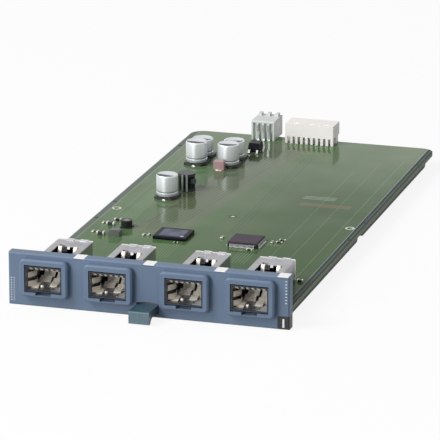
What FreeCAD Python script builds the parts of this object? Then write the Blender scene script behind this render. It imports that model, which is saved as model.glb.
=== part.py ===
import FreeCAD, Part
import os

from FreeCAD import Vector

# A plug-in line card for a modular network switch.  A moulded front panel half a rack unit high
# carries four raised port mouths.  Behind each mouth a folded sheet cage for a pluggable
# transceiver stands on the circuit board, round a host connector.  The board carries the switch
# circuit, its power stage and two connectors that mate with the chassis at the back.  A sprung
# lever, pivoted behind the panel, latches the card into the chassis.
#
# Frame: +X to the right along the panel, +Y from the panel into the card, +Z up.  The pieces are
# modelled with y = 0 on the panel's front face and z = 0 on its lower edge, and are moved at the
# end so that the origin lies under the middle of the whole card.  Millimetres throughout.

# ---------------------------------------------------------------- driving dimensions
# front panel
panel_w = 113.2
panel_h = 21.2
panel_wall = 2.0            # thickness of the front wall
rim_wall = 1.5              # thickness of the rim that runs back round the front wall
rim_depth = 4.5             # how far back the rim reaches from the front face
panel_bevel = 0.5           # bevel of the panel's front edges

# port mouths on the panel
inner_port_x = 15.35        # centre of the two inner ports, either side of the middle
outer_port_x = 41.5         # centre of the two outer ports
mouth_out = 3.0             # how far a mouth stands in front of the panel
mouth_margin = 2.2          # frame left and right of and above the opening
mouth_sill = 1.8            # frame below the opening
mouth_corner = 2.0          # corner radius of the mouth
mouth_bevel = 0.6           # bevel of the mouth's front edge
notch_w = 6.2               # relief for the module's latch below each opening
notch_h = 1.0

# circuit board
board_t = 1.6
board_z = 5.4               # underside of the board above the panel's lower edge
board_len = 234.6           # from the front edge of the board to its back edge
board_inset = 1.3           # the board's sides lie this far inside the panel's ends
board_corner = 6.0          # rounding of the back corners
board_gap = 0.3             # between the panel's rim and the board's front edge
bay_w = 8.0                 # cut-out in the front edge that the lever's arm rises through
bay_len = 26.0

# transceiver cages
cage_w = 14.5
cage_h = 9.7
cage_len = 39.0
cage_t = 0.3                # sheet thickness
cage_bend = 0.45            # outer radius of the roof's bends
cage_recess = 0.5           # front edge of the cage behind the face of the mouth
side_gap = 0.375            # opening to cage, left and right
top_gap = 0.7               # opening to cage, above
low_gap = 0.6               # opening to cage, below
window_w = 9.0              # window in the roof of the cage
window_len = 9.5
window_rear = 10.0          # roof left behind the window
window_off = 0.3            # the window lies this far to the right of the cage's middle
vent_w = 1.0                # vents in front of the window
vent_len = 4.0
vent_pitch = 1.9
vent_count = 5
vent_bar = 1.0              # roof left between the vents and the window
stop_w = 2.5                # stop tab bent down from a notch behind the window
stop_drop = 2.8
stop_notch = 2.8            # how far the notch reaches back
stop_off = 2.45             # middle of the stop tab to the left of the cage's middle
guide_w = 1.1               # narrow tab bent down from the window's back edge
guide_drop = 0.9
guide_off = 0.5
tab_lean = 0.5              # how far a bent tab leans forward at its tip
lock_w = 3.2                # tabs of the back wall folded over the roof
lock_len = 2.0
lock_off = 1.9              # middle of the left one, and twice this to the right
tongue_w = 5.4              # latch tongue in the floor of the cage
tongue_len = 8.0
tongue_slot = 0.5
tongue_bar = 1.2            # floor left in front of the latch tongue
tongue_hole = 1.8           # hole in the latch tongue that takes the module's latch
rear_lift = 1.2             # slot under the cage's back wall
pin_w = 0.8                 # board pins along the cage's sides
pin_len = 2.5
pin_inset = 3.0             # the two pins of a side from the cage's ends behind the panel

# grounding collars between cage and panel
collar_t = 0.15
collar_band = 1.4           # plain band of the collar round the cage
finger_len = 3.6
finger_w = 1.5
finger_pitch = 2.6
finger_free = 0.1           # a finger's crown stops this far short of the opening
finger_peak = 0.45          # place of the crown, as a share of the finger's length
finger_count_above = 5
finger_count_beside = 2

# host connectors inside the cages
host_w = 11.8
host_h = 5.8
host_len = 12.0
host_behind = 3.0           # back of the host connector to the back of the cage
host_slot_w = 10.2
host_slot_h = 1.7
host_slot_z = 2.4           # underside of the card slot above the board
host_slot_depth = 6.0
host_pocket_w = 2.4         # pockets in the foot of the host connector
host_pocket_h = 1.9
host_pocket_deep = 2.5
host_pocket_pitch = 3.2
host_pocket_count = 3
finger_stop_w = 0.7         # ends of the floor bent up in front of the host connector
finger_stop_h = 2.2
contact_pitch = 1.0
contact_count = 8
contact_w = 0.4
contact_t = 0.2

# latch lever
tab_w = 8.3                 # width of the finger tab
tab_reach = 11.0            # how far the tab stands in front of the panel
tab_t = 2.7                 # thickness of the tab at the panel
tab_rise = 0.5              # the tab's upper face rises this much towards its front edge
tab_lip_t = 1.3             # thickness of the lip at the tab's front edge
tab_lip_z = 0.5             # lower edge of the lip
tab_hollow = 3.0            # radius of the finger hollow behind the lip
tab_bevel = 0.6             # rounding of the tab's upper front edge
slot_side = 0.35            # tab to panel slot, left and right
slot_over = 0.45            # tab to panel slot, above
slot_under = 0.9            # tab to panel slot, below
slot_arch = 0.5             # rise of the slot's arched top
pivot_y = 7.5
pivot_z = 3.3
pin_r = 0.8
pin_play = 0.05             # radial clearance of the lever on its pin
eye_r = 1.75                # outer radius of the lever's eye
ear_t = 2.2                 # thickness of the panel's two pivot ears
ear_side = 0.35             # lever's eye to ear, each side
arm_w = 5.6
arm_t = 1.9
arm_end = 27.0
hook_len = 4.5
hook_z = 0.7                # tip of the hook above the panel's lower edge

# leaf spring behind the lever
leaf_t = 0.3
leaf_w = 4.0
leaf_base_w = 9.6
leaf_base_len = 7.0
leaf_touch_y = 23.6         # where the leaf bears on the arm
leaf_gap = 0.05
leaf_tip_len = 1.3          # turned-up tip past that point
leaf_tip_rise = 0.8
leaf_leg_w = 1.6            # legs bent down through the board
leaf_leg_len = 2.4
leaf_leg_play = 0.05

# lugs and screws that hold the board to the panel
lug_x = 28.4
lug_w = 8.0
lug_len = 12.0              # from the front wall's back face
lug_floor = 1.8             # underside of the lugs above the panel's lower edge
screw_r = 1.25
screw_play = 0.02           # screw to the thread it stands in
screw_clear = 0.15          # screw to the board's hole
screw_len = 6.0             # under the head
head_r = 2.4
head_h = 1.3
recess_r = 1.1
recess_w = 0.5
recess_deep = 0.7

# ground clips on the panel's top edge
clip_w = 4.3
clip_t = 0.3
clip_drop = 3.2             # leg behind the rim
clip_fold = 0.35            # lip over the front edge
clip_side = 0.05            # clip to the seat it lies in, each side
clip_xs = (-27.7, 0.5, 29.0, 54.0)

# slot number tag in the panel's lower right corner
tag_w = 4.7
tag_h = 5.4

# guide runners under the board's long edges
runner_w = 5.2
runner_h = 1.6
runner_start = 1.6          # behind the board's front edge
runner_gap_y = 107.0        # where the front runners stop
runner_gap = 6.5
runner_short = 17.4         # the rear runners stop this far before the board's back edge
runner_inset = 0.2
runner_nose = 1.4           # chamfer at the runners' ends
peg_side = 1.4              # square pegs that hold a runner in the board
peg_inset = 1.5             # pegs from the board's side
peg_end = 9.0               # first and last peg from the runner's ends
peg_play = 0.05

# keying hole beside the gap of the runners
key_hole_r = 1.2
key_inset = 5.2             # keying holes from the board's side

# aluminium can capacitors
base_t = 1.0                # plastic base plate under a can
base_over = 0.15            # base plate beyond the can
base_cut = 1.7              # cut corners of the base plate
can_shoulder = 0.5
can_lead_w = 1.1
can_lead_in = 2.4           # lead under the base plate
can_lead_out = 0.3          # lead in front of the base plate
can_lead_t = 0.4
can_lead_side = 0.05        # lead to the groove it lies in

# connectors at the back edge
power_w = 21.8
power_h = 8.75
power_len = 10.8
power_over = 2.1            # how far the power connector stands out past the board
power_from_left = 55.5      # middle of the power connector from the board's left edge
power_cell_count = 9
power_pitch = 2.31
power_leg = 3.1             # height of the legs under the power connector
power_leg_w = 1.0
power_leg_t = 1.7
power_foot = 3.8            # the housing stands on the board over this length at its back
power_cell_w = 1.5
power_cell_h = 3.2
power_cell_deep = 6.0
power_dent_w = 3.5          # moulding dents in the top
power_dent_len = 1.2
power_dent_deep = 0.5
power_dent_pitch = 6.5
power_dent_count = 3
power_pin = 0.64
signal_w = 10.4
signal_h = 8.75
signal_from_left = 34.05    # middle of the signal connector from the board's left edge
signal_len = 13.3
signal_over = 5.4           # how far the signal connector stands out past the board
signal_col_count = 4
signal_row_count = 4
signal_pitch = 2.5
signal_row_pitch = 1.9
signal_pocket_w = 1.4
signal_pocket_deep = 1.2
signal_rail = 0.9           # plain band above the pockets
signal_bevel = 0.4
signal_hole = 1.1
signal_hole_deep = 5.0
signal_rib = 1.3            # width of the ribs on top, and the gap behind them
signal_rib_len = 3.0
signal_rib_h = 1.3
signal_rib_count = 3
signal_rib_pitch = 3.8
strip_w = 0.9               # bent contacts in front of the signal connector
strip_t = 0.3
strip_count = 3
strip_crank = 0.5           # their lower half is set this far to the right
strip_top = 1.6             # below the top of the housing
strip_foot = 1.2            # how far their feet reach forward

# cutting shapes run this far past the faces that they open
past = 1.0

# ---------------------------------------------------------------- places worked out from the above
board_top = board_z + board_t
board_y0 = rim_depth + board_gap
board_y1 = board_y0 + board_len
board_half = panel_w / 2 - board_inset
mouth_y = -mouth_out
cage_y0 = mouth_y + cage_recess
cage_y1 = cage_y0 + cage_len
cage_top = board_top + cage_h
opening_w = cage_w + 2 * side_gap
opening_h = cage_h + low_gap + top_gap
opening_z = board_top - low_gap
port_xs = (-outer_port_x, -inner_port_x, inner_port_x, outer_port_x)
host_y1 = cage_y1 - host_behind
host_y0 = host_y1 - host_len
lever_front = -tab_reach
tab_top = pivot_z + eye_r
signal_y1 = board_y1 + signal_over
power_y1 = board_y1 + power_over
power_y0 = power_y1 - power_len
signal_y0 = signal_y1 - signal_len
origin_shift = Vector(0, -(lever_front + signal_y1) / 2, 0)

# cans: name, diameter, height, and the middle's distance from the board's left and back edges
cans = (
    ("capacitor_1", 9.2, 10.2, 20.4, 104.5),
    ("capacitor_2", 9.4, 10.2, 16.9, 51.3),
    ("capacitor_3", 9.2, 8.6, 16.3, 40.3),
    ("capacitor_4", 9.4, 10.2, 31.2, 51.2),
    ("capacitor_5", 9.2, 8.8, 30.6, 40.3),
)
choke_d = 7.4
choke_h = 7.6
choke_from_left = 25.0      # middle of the choke from the board's left edge
choke_from_back = 91.7      # and from its back edge
choke_flange = 1.2          # height of the core's two flanges
choke_neck = 0.55           # radius of the core's waist as a share of its outer radius
choke_coil = 0.97           # and of the winding on it
choke_terminal_side = 1.9
choke_terminal_z = 4.6      # middle of the terminal above the board
block_w = 4.6
block_len = 2.6
block_h = 4.1
block_bevel = 0.5
block_lead = 0.4            # terminals in front of and behind the moulded block
block_from_left = 29.2
block_from_back = 58.1
regulator_from_left = 35.8
regulator_from_back = 25.1
regulator_w = 5.4
regulator_len = 6.0
regulator_h = 4.0
regulator_leg_w = 0.9
regulator_leg_out = 2.6     # how far its legs reach in front of the body
regulator_plate_w = 4.5
regulator_plate_out = 1.2   # back plate behind the body
regulator_leg_t = 0.45
regulator_waist = 1.3       # the legs come out at this height above the body's foot
regulator_slope = 0.4       # its faces lean in by this much

# flat packages: distance from the board's left and front edges, width, length, height
switch_chip_at = (39.8, 77.5, 14.0, 12.6, 1.5)
control_chip_at = (70.9, 76.2, 12.5, 12.0, 2.1)
chip_stand = 0.15
chip_lean = 0.12            # how far a package's faces lean in, as a share of its height
lead_count = 9              # leads on each side of the control chip
lead_pitch = 1.27
lead_w = 0.6
lead_out = 0.45             # the leads stand out this far from the body's waist
crystal_at = (16.8, 71.6, 4.6, 3.6, 2.8)
crystal_bevel = 0.6
drum_from_left = 17.7
drum_from_front = 84.0
drum_d = 4.6
drum_h = 3.1
drum_foot_h = 0.6

# resistors and ceramic capacitors: from the board's left and front edges, width, length, height;
# a piece near the right edge has its distance from that edge, below nought
small_parts_at = (
    (10.5, 85.0, 3.4, 2.0, 1.4),
    (10.9, 71.0, 3.2, 2.0, 1.5),
    (11.4, 91.8, 2.8, 1.6, 1.0),
    (6.8, 86.6, 0.9, 1.8, 0.6),
    (6.7, 73.8, 0.9, 1.8, 0.6),
    (27.9, 75.0, 1.0, 2.0, 0.6),
    (29.9, 75.6, 1.0, 2.0, 0.6),
    (59.5, 80.4, 1.2, 2.2, 0.6),
    (80.7, 80.0, 1.0, 2.2, 0.6),
    (83.5, 80.8, 2.6, 1.2, 0.6),
    (83.9, 84.0, 2.6, 1.2, 0.6),
    (74.8, 67.4, 2.4, 1.2, 0.6),
    (43.5, 68.8, 1.8, 1.0, 0.5),
    (-5.3, 33.8, 2.2, 1.4, 1.0),
)

# middles of the pieces above
choke_x = choke_from_left - board_half
choke_y = board_y1 - choke_from_back
block_x = block_from_left - board_half
block_y = board_y1 - block_from_back
regulator_x = regulator_from_left - board_half
regulator_y = board_y1 - regulator_from_back
drum_x = drum_from_left - board_half
drum_y = board_y0 + drum_from_front
power_x = power_from_left - board_half
signal_x = signal_from_left - board_half


# ---------------------------------------------------------------- helpers
def box(x0, x1, y0, y1, z0, z1):
    return Part.makeBox(x1 - x0, y1 - y0, z1 - z0, Vector(x0, y0, z0))


def block_at(x, y, z0, w, length, h):
    """A block of w by length centred on x, y, with its foot at z0."""
    return box(x - w / 2, x + w / 2, y - length / 2, y + length / 2, z0, z0 + h)


def polygon(points):
    return Part.Face(Part.makePolygon([Vector(*p) for p in points] + [Vector(*points[0])]))


def prism_x(profile, x0, x1):
    """A profile of (y, z) points run from x0 to x1."""
    return polygon([(x0, y, z) for y, z in profile]).extrude(Vector(x1 - x0, 0, 0))


def upright(r, h, x, y, z):
    return Part.makeCylinder(r, h, Vector(x, y, z), Vector(0, 0, 1))


def bar_x(r, x0, x1, y, z):
    return Part.makeCylinder(r, x1 - x0, Vector(x0, y, z), Vector(1, 0, 0))


def fuse(shapes):
    first, rest = shapes[0], shapes[1:]
    return first.multiFuse(rest).removeSplitter() if rest else first


def cut(shape, tools):
    return shape.cut(Part.makeCompound(tools)) if tools else shape


def fillet_where(shape, radius, wanted):
    edges = [e for e in shape.Edges if wanted(e)]
    return shape.makeFillet(radius, edges) if edges else shape


def bevel_where(shape, size, wanted):
    edges = [e for e in shape.Edges if wanted(e)]
    return shape.makeChamfer(size, edges) if edges else shape


def spread(count, pitch):
    """Offsets of count things at a pitch, centred on nought."""
    return [(i - (count - 1) / 2) * pitch for i in range(count)]


def on_board(place):
    """A place measured from the board's nearer side and its front edge, in the card's own frame."""
    across, from_front, w, length, h = place
    x = across - board_half if across > 0 else across + board_half
    return x, board_y0 + from_front, w, length, h


def export(name, shape):
    placed = shape.copy()
    placed.translate(origin_shift)
    placed.exportStep(os.path.join("parts", name + ".step"))


# ---------------------------------------------------------------- front panel
def port_mouth(x):
    """The raised frame round one opening, with rounded corners and a bevelled front edge."""
    half = opening_w / 2 + mouth_margin
    frame = box(x - half, x + half, mouth_y, panel_wall / 2, opening_z - mouth_sill,
                opening_z + opening_h + mouth_margin)
    frame = fillet_where(frame, mouth_corner, lambda e: e.BoundBox.YLength > mouth_out / 2)
    return bevel_where(frame, mouth_bevel, lambda e: e.BoundBox.YMax < mouth_y + mouth_bevel / 2)


def port_opening(x):
    half = opening_w / 2
    hole = box(x - half, x + half, mouth_y - past, rim_depth, opening_z, opening_z + opening_h)
    notch = box(x - notch_w / 2, x + notch_w / 2, mouth_y - past, rim_depth,
                opening_z - notch_h, opening_z + notch_h)
    return hole.fuse(notch)


def lever_slot():
    """The slot the lever passes through, with an arched top."""
    half = tab_w / 2 + slot_side
    low = tab_top - tab_t - slot_under
    high = tab_top + slot_over
    y = -past
    arch = Part.Arc(Vector(-half, y, high), Vector(0, y, high + slot_arch), Vector(half, y, high))
    sides = [
        Part.makeLine(Vector(half, y, high), Vector(half, y, low)),
        Part.makeLine(Vector(half, y, low), Vector(-half, y, low)),
        Part.makeLine(Vector(-half, y, low), Vector(-half, y, high)),
    ]
    face = Part.Face(Part.Wire([arch.toShape()] + sides))
    return face.extrude(Vector(0, rim_depth + 2 * past, 0))


def pivot_ear(side):
    """One of the two ears behind the panel that hold the lever's pin."""
    inner = side * (tab_w / 2 + ear_side)
    outer = side * (tab_w / 2 + ear_side + ear_t)
    x0, x1 = min(inner, outer), max(inner, outer)
    top = pivot_z + eye_r
    low = pivot_z - eye_r
    arm = box(x0, x1, panel_wall / 2, pivot_y, low, top)
    return arm.fuse(bar_x(eye_r, x0, x1, pivot_y, pivot_z))


def lug(x):
    """A shelf behind the panel that the board is screwed down on."""
    back = panel_wall + lug_len
    taper = (board_z - lug_floor) / 2
    profile = [(panel_wall / 2, lug_floor), (back - taper, lug_floor), (back, lug_floor + taper),
               (back, board_z), (panel_wall / 2, board_z)]
    return prism_x(profile, x - lug_w / 2, x + lug_w / 2)


def screw_y():
    return panel_wall + lug_len / 2 + head_r


def front_panel():
    half = panel_w / 2
    body = box(-half, half, 0, rim_depth, 0, panel_h)
    body = bevel_where(body, panel_bevel, lambda e: e.BoundBox.YMax < panel_bevel / 2)
    hollow = box(-half + rim_wall, half - rim_wall, panel_wall, rim_depth + past,
                 rim_wall, panel_h - rim_wall)
    shell = body.cut(hollow)
    added = [port_mouth(x) for x in port_xs]
    added += [pivot_ear(-1), pivot_ear(1), lug(-lug_x), lug(lug_x)]
    solid = fuse([shell] + added)
    cuts = [port_opening(x) for x in port_xs]
    cuts.append(lever_slot())
    cuts.append(bar_x(pin_r, -half, half, pivot_y, pivot_z))
    for x in (-lug_x, lug_x):
        depth = board_z - lug_floor + past
        cuts.append(upright(screw_r + screw_play, depth, x, screw_y(), lug_floor - past))
    cuts.append(box(half - tag_w, half + past, -past, rim_depth + past, -past, tag_h))
    for x in clip_xs:
        a = x - clip_w / 2 - clip_side
        b = x + clip_w / 2 + clip_side
        cuts.append(box(a, b, -past, rim_depth + past, panel_h - clip_t, panel_h + past))
        cuts.append(box(a, b, -past, clip_t, panel_h - clip_fold - clip_t, panel_h + past))
    return cut(solid, cuts)


def slot_tag():
    """The corner block that carries the slot's number, with the panel's own bevelled edge."""
    half = panel_w / 2
    solid = box(half - tag_w, half, 0, rim_depth, 0, tag_h)
    outer = lambda e: e.BoundBox.YMax < panel_bevel / 2 and (
        e.BoundBox.XMin > half - panel_bevel or e.BoundBox.ZMax < panel_bevel)
    return bevel_where(solid, panel_bevel, outer)


def ground_clip(x):
    """A strip folded over the panel's top edge, with a spring leg behind the rim."""
    top = panel_h
    y1 = rim_depth + clip_t
    outline = [(0, top), (0, top - clip_fold), (clip_t, top - clip_fold), (clip_t, top - clip_t),
               (rim_depth, top - clip_t), (rim_depth, top - clip_drop),
               (rim_depth + 2 * clip_t, top - clip_drop - clip_t),
               (rim_depth + 3 * clip_t, top - clip_drop - clip_t),
               (y1, top - clip_drop), (y1, top)]
    return prism_x(outline, x - clip_w / 2, x + clip_w / 2)


# ---------------------------------------------------------------- latch lever
def release_lever():
    """Finger tab with a hollowed underside, an eye on the pin, and an arm that ends in a hook."""
    half = tab_w / 2
    under = tab_top - tab_t
    outline = [(lever_front, under), (lever_front, tab_top + tab_rise), (0, tab_top), (pivot_y, tab_top),
               (pivot_y, under)]
    tab = prism_x(outline, -half, half)
    lip = box(-half, half, lever_front, lever_front + tab_lip_t + tab_hollow, tab_lip_z, under)
    hollow = bar_x(tab_hollow, -half - past, half + past, lever_front + tab_lip_t + tab_hollow,
                   under - tab_hollow)
    lip = lip.cut(hollow)
    eye = bar_x(eye_r, -half, half, pivot_y, pivot_z)
    arm_top = lever_arm_top()
    arm_low = arm_top - arm_t
    hook_y = arm_end - hook_len
    profile = [(pivot_y, arm_top), (arm_end, arm_top), (arm_end, hook_z + hook_len / 4),
               (arm_end - hook_len / 4, hook_z), (arm_end - hook_len / 2, hook_z),
               (hook_y, arm_low), (pivot_y, arm_low)]
    arm = prism_x(profile, -arm_w / 2, arm_w / 2)
    solid = fuse([tab, lip, eye, arm])
    corner = lambda e: e.BoundBox.YMax < lever_front + tab_bevel / 2 and e.BoundBox.ZMin > pivot_z
    solid = fillet_where(solid, tab_bevel, corner)
    return solid.cut(bar_x(pin_r + pin_play, -half - past, half + past, pivot_y, pivot_z))


def lever_arm_top():
    return pivot_z + eye_r - (eye_r * 2 - arm_t) / 2


def pivot_pin():
    half = tab_w / 2 + ear_side + ear_t
    return bar_x(pin_r, -half, half, pivot_y, pivot_z)


def leaf_base_y():
    """Front and back of the leaf's base, which starts at the back edge of the lever's bay."""
    y0 = board_y0 + bay_len
    return y0, y0 + leaf_base_len


def leaf_leg_places():
    y0, y1 = leaf_base_y()
    x = leaf_base_w / 2 - leaf_t / 2
    return [(-x, (y0 + y1) / 2), (x, (y0 + y1) / 2)]


def leaf_spring():
    """A strip with two legs in the board behind the lever's bay, its free end bearing on the arm."""
    base_y0, base_y1 = leaf_base_y()
    z0 = board_top
    touch = lever_arm_top() + leaf_gap
    tip_y = leaf_touch_y - leaf_tip_len
    tip_z = touch + leaf_tip_rise
    upper = [(base_y1, z0 + leaf_t), (base_y0, z0 + leaf_t), (leaf_touch_y, touch + leaf_t),
             (tip_y, tip_z + leaf_t)]
    lower = [(tip_y, tip_z), (leaf_touch_y, touch), (base_y0, z0), (base_y1, z0)]
    finger = prism_x(upper + lower, -leaf_w / 2, leaf_w / 2)
    base = box(-leaf_base_w / 2, leaf_base_w / 2, base_y0, base_y1, z0, z0 + leaf_t)
    legs = [block_at(x, y, z0 + leaf_t - leaf_leg_len, leaf_t, leaf_leg_w, leaf_leg_len)
            for x, y in leaf_leg_places()]
    return fuse([base, finger] + legs)


def board_screw(x, y, seat, length):
    """A flat-headed machine screw with a cross recess, its head seated at z = seat."""
    head = upright(head_r, head_h, x, y, seat)
    shank = upright(screw_r, length, x, y, seat - length)
    top = seat + head_h
    recess = [block_at(x, y, top - recess_deep, 2 * recess_r, recess_w, recess_deep + past),
              block_at(x, y, top - recess_deep, recess_w, 2 * recess_r, recess_deep + past)]
    return cut(fuse([head, shank]), recess)


# ---------------------------------------------------------------- circuit board and runners
def runner_spans():
    first = board_y0 + runner_start
    last = board_y1 - runner_short
    return ((first, runner_gap_y), (runner_gap_y + runner_gap, last))


def peg_places(side, span):
    """Square pegs near both ends of one runner."""
    y0, y1 = span
    x = side * (board_half - peg_inset)
    return [(x, y) for y in (y0 + peg_end, y1 - peg_end)]


def cage_pin_ys():
    return [board_y0 + pin_inset, cage_y1 - pin_inset]


def circuit_board():
    half = board_half
    plate = box(-half, half, board_y0, board_y1, board_z, board_top)
    plate = fillet_where(plate, board_corner, lambda e: (
        e.BoundBox.YMin > board_y1 - board_corner / 2 and e.BoundBox.ZLength > board_t / 2))
    low = board_z - past
    through = board_t + 2 * past
    cuts = [box(-bay_w / 2, bay_w / 2, board_y0 - past, board_y0 + bay_len, low, low + through)]
    for x in (-lug_x, lug_x):
        cuts.append(upright(screw_r + screw_clear, through, x, screw_y(), low))
    for x, y in leaf_leg_places():
        cuts.append(block_at(x, y, low, leaf_t + 2 * leaf_leg_play, leaf_leg_w + 2 * leaf_leg_play,
                             through))
    peg_hole = peg_side + 2 * peg_play
    for side in (-1, 1):
        for span in runner_spans():
            cuts += [block_at(x, y, low, peg_hole, peg_hole, through)
                     for x, y in peg_places(side, span)]
        cuts.append(upright(key_hole_r, through, side * (board_half - key_inset),
                            runner_gap_y + runner_gap, low))
    for x in port_xs:
        for side in (-1, 1):
            px = x + side * (cage_w - cage_t) / 2
            cuts += [block_at(px, y, low, cage_t, pin_w, through) for y in cage_pin_ys()]
    return cut(plate, cuts)


def guide_runner(side, span):
    """A moulded strip under one edge of the board, with chamfered noses and square pegs."""
    y0, y1 = span
    low = board_z - runner_h
    profile = [(y0, board_z), (y0, low + runner_nose / 2), (y0 + runner_nose, low),
               (y1 - runner_nose, low), (y1, low + runner_nose / 2), (y1, board_z)]
    outer = side * (board_half - runner_inset)
    inner = outer - side * runner_w
    strip = prism_x(profile, min(inner, outer), max(inner, outer))
    pegs = [block_at(x, y, low, peg_side, peg_side, board_top - low) for x, y in peg_places(side, span)]
    return fuse([strip] + pegs)


# ---------------------------------------------------------------- transceiver cages
def bent_tab(x, y, z, width, drop):
    """A tab bent down from an edge of the roof at y, leaning forward at its tip."""
    profile = [(y, z), (y - tab_lean, z - drop), (y - tab_lean + cage_t, z - drop), (y + cage_t, z)]
    return prism_x(profile, x - width / 2, x + width / 2)


def cage(x):
    """One folded sheet: roof with window, vents and bent tabs, floor with a latch tongue."""
    half = cage_w / 2
    inner = half - cage_t
    z0, z1 = board_top, cage_top
    shell = box(x - half, x + half, cage_y0, cage_y1, z0, z1)
    shell = fillet_where(shell, cage_bend, lambda e: e.BoundBox.ZMin > z1 - cage_t / 2
                         and e.BoundBox.YLength > cage_t)
    bay = box(x - inner, x + inner, cage_y0 - past, cage_y1 - cage_t, z0 + cage_t, z1 - cage_t)
    win_x = x + window_off
    win_y1 = cage_y1 - window_rear
    win_y0 = win_y1 - window_len
    stop_x = x - stop_off
    stop_y = win_y1 + stop_notch
    over = cage_t * 3
    cuts = [bay, box(win_x - window_w / 2, win_x + window_w / 2, win_y0, win_y1, z1 - over, z1 + past),
            box(stop_x - stop_w / 2, stop_x + stop_w / 2, win_y0, stop_y, z1 - over, z1 + past)]
    vent_y1 = win_y0 - vent_bar
    for dx in spread(vent_count, vent_pitch):
        cuts.append(box(win_x + dx - vent_w / 2, win_x + dx + vent_w / 2, vent_y1 - vent_len, vent_y1,
                        z1 - over, z1 + past))
    # floor: cut away round the host connector, slit round the latch tongue
    stop_y0 = host_y0 - 2 * cage_t
    cuts.append(box(x - host_w / 2 - cage_t, x + host_w / 2 + cage_t, stop_y0, cage_y1 - cage_t,
                    z0 - past, z0 + over))
    t0 = cage_y0 + tongue_bar
    t1 = t0 + tongue_len
    for side in (-1, 1):
        edge = x + side * (tongue_w + tongue_slot) / 2
        cuts.append(box(edge - tongue_slot / 2, edge + tongue_slot / 2, t0, t1, z0 - past, z0 + over))
    cuts.append(box(x - tongue_w / 2, x + tongue_w / 2, t0, t0 + tongue_slot, z0 - past, z0 + over))
    cuts.append(block_at(x, t0 + tongue_slot + 2 * tongue_hole, z0 - past, tongue_hole, tongue_hole,
                         over + past))
    # slot under the back wall
    cuts.append(box(x - host_w / 2, x + host_w / 2, cage_y1 - over, cage_y1 + past,
                    z0 - past, z0 + rear_lift))
    sheet = cut(shell, cuts)
    folds = [bent_tab(stop_x, stop_y, z1, stop_w, stop_drop),
             bent_tab(x + guide_off, win_y1, z1, guide_w, guide_drop)]
    for lock_x in (x - lock_off, x + 2 * lock_off):
        folds.append(box(lock_x - lock_w / 2, lock_x + lock_w / 2, cage_y1 - lock_len, cage_y1,
                         z1, z1 + cage_t))
    for dx in spread(host_pocket_count + 1, host_pocket_pitch):
        folds.append(box(x + dx - finger_stop_w / 2, x + dx + finger_stop_w / 2, stop_y0 - cage_t, stop_y0,
                         z0, z0 + finger_stop_h))
    for side in (-1, 1):
        px = x + side * (half - cage_t / 2)
        for y in cage_pin_ys():
            folds.append(block_at(px, y, z0 - pin_len, cage_t, pin_w, pin_len + cage_t))
    return fuse([sheet] + folds)


def finger_strip(along, crown):
    """Profile of one bowed finger: (distance along the cage, height over it)."""
    mid = along + finger_len * finger_peak
    end = along + finger_len
    return [(along, 0), (mid, crown - collar_t), (end, 0), (end, collar_t), (mid, crown), (along, collar_t)]


def collar(x):
    """Spring collar round the mouth of a cage: a band, and fingers bowed out towards the panel."""
    half = cage_w / 2
    y0 = cage_y0
    y1 = y0 + collar_band
    low, high = board_top, cage_top
    outer = box(x - half - collar_t, x + half + collar_t, y0, y1, low - collar_t, high + collar_t)
    band = outer.cut(box(x - half, x + half, y0 - past, y1 + past, low, high))
    pieces = [band]
    top_crown = top_gap - finger_free
    side_crown = side_gap - finger_free
    low_crown = low_gap - finger_free
    for dx in spread(finger_count_above, finger_pitch):
        profile = [(y, high + h) for y, h in finger_strip(y1, top_crown)]
        pieces.append(prism_x(profile, x + dx - finger_w / 2, x + dx + finger_w / 2))
    under = (tongue_w + finger_w) / 2 + tongue_slot
    for dx in (-under, under):
        profile = [(y, low - h) for y, h in finger_strip(y1, low_crown)]
        pieces.append(prism_x(profile, x + dx - finger_w / 2, x + dx + finger_w / 2))
    middle = (low + high) / 2
    for side in (-1, 1):
        for dz in spread(finger_count_beside, 2 * finger_pitch):
            points = [(x + side * (half + h), y, middle + dz - finger_w / 2)
                      for y, h in finger_strip(y1, side_crown)]
            pieces.append(polygon(points).extrude(Vector(0, 0, finger_w)))
    return fuse(pieces)


def host_connector(x):
    """The card-edge socket at the back of a cage: a lead-in round its slot, pockets in its foot."""
    z0 = board_top
    body = box(x - host_w / 2, x + host_w / 2, host_y0, host_y1, z0, z0 + host_h)
    slot_z0 = z0 + host_slot_z
    slot_z1 = slot_z0 + host_slot_h
    half = host_slot_w / 2
    slot = box(x - half, x + half, host_y0 - past, host_y0 + host_slot_depth, slot_z0, slot_z1)
    lead = host_slot_h / 4
    mouth = prism_x([(host_y0, slot_z0 - lead), (host_y0 + 2 * lead, slot_z0),
                     (host_y0 + 2 * lead, slot_z1), (host_y0, slot_z1 + lead)], x - half, x + half)
    corner = [(host_y1 - host_len / 3, z0 + host_h), (host_y1, z0 + host_h), (host_y1, z0 + host_h / 2)]
    step = prism_x(corner, x - host_w / 2, x + host_w / 2)
    pockets = [box(x + dx - host_pocket_w / 2, x + dx + host_pocket_w / 2, host_y0 - past,
                   host_y0 + host_pocket_deep, z0 - past, z0 + host_pocket_h)
               for dx in spread(host_pocket_count, host_pocket_pitch)]
    return cut(body, [slot, mouth, step] + pockets)


def host_contacts(x):
    """The contacts' blades, which show above the slot on the socket's face."""
    blade_z = board_top + host_slot_z + host_slot_h + contact_w
    return [box(x + dx - contact_w / 2, x + dx + contact_w / 2, host_y0 - contact_t, host_y0,
                blade_z, board_top + host_h) for dx in spread(contact_count, contact_pitch)]


# ---------------------------------------------------------------- parts on the board
def can(diameter, height, x, y):
    """An aluminium can that stands on its base plate, with a bevelled shoulder."""
    z0 = board_top + base_t
    shell = upright(diameter / 2, height - base_t, x, y, z0)
    return bevel_where(shell, can_shoulder, lambda e: e.BoundBox.ZMin > z0)


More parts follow.
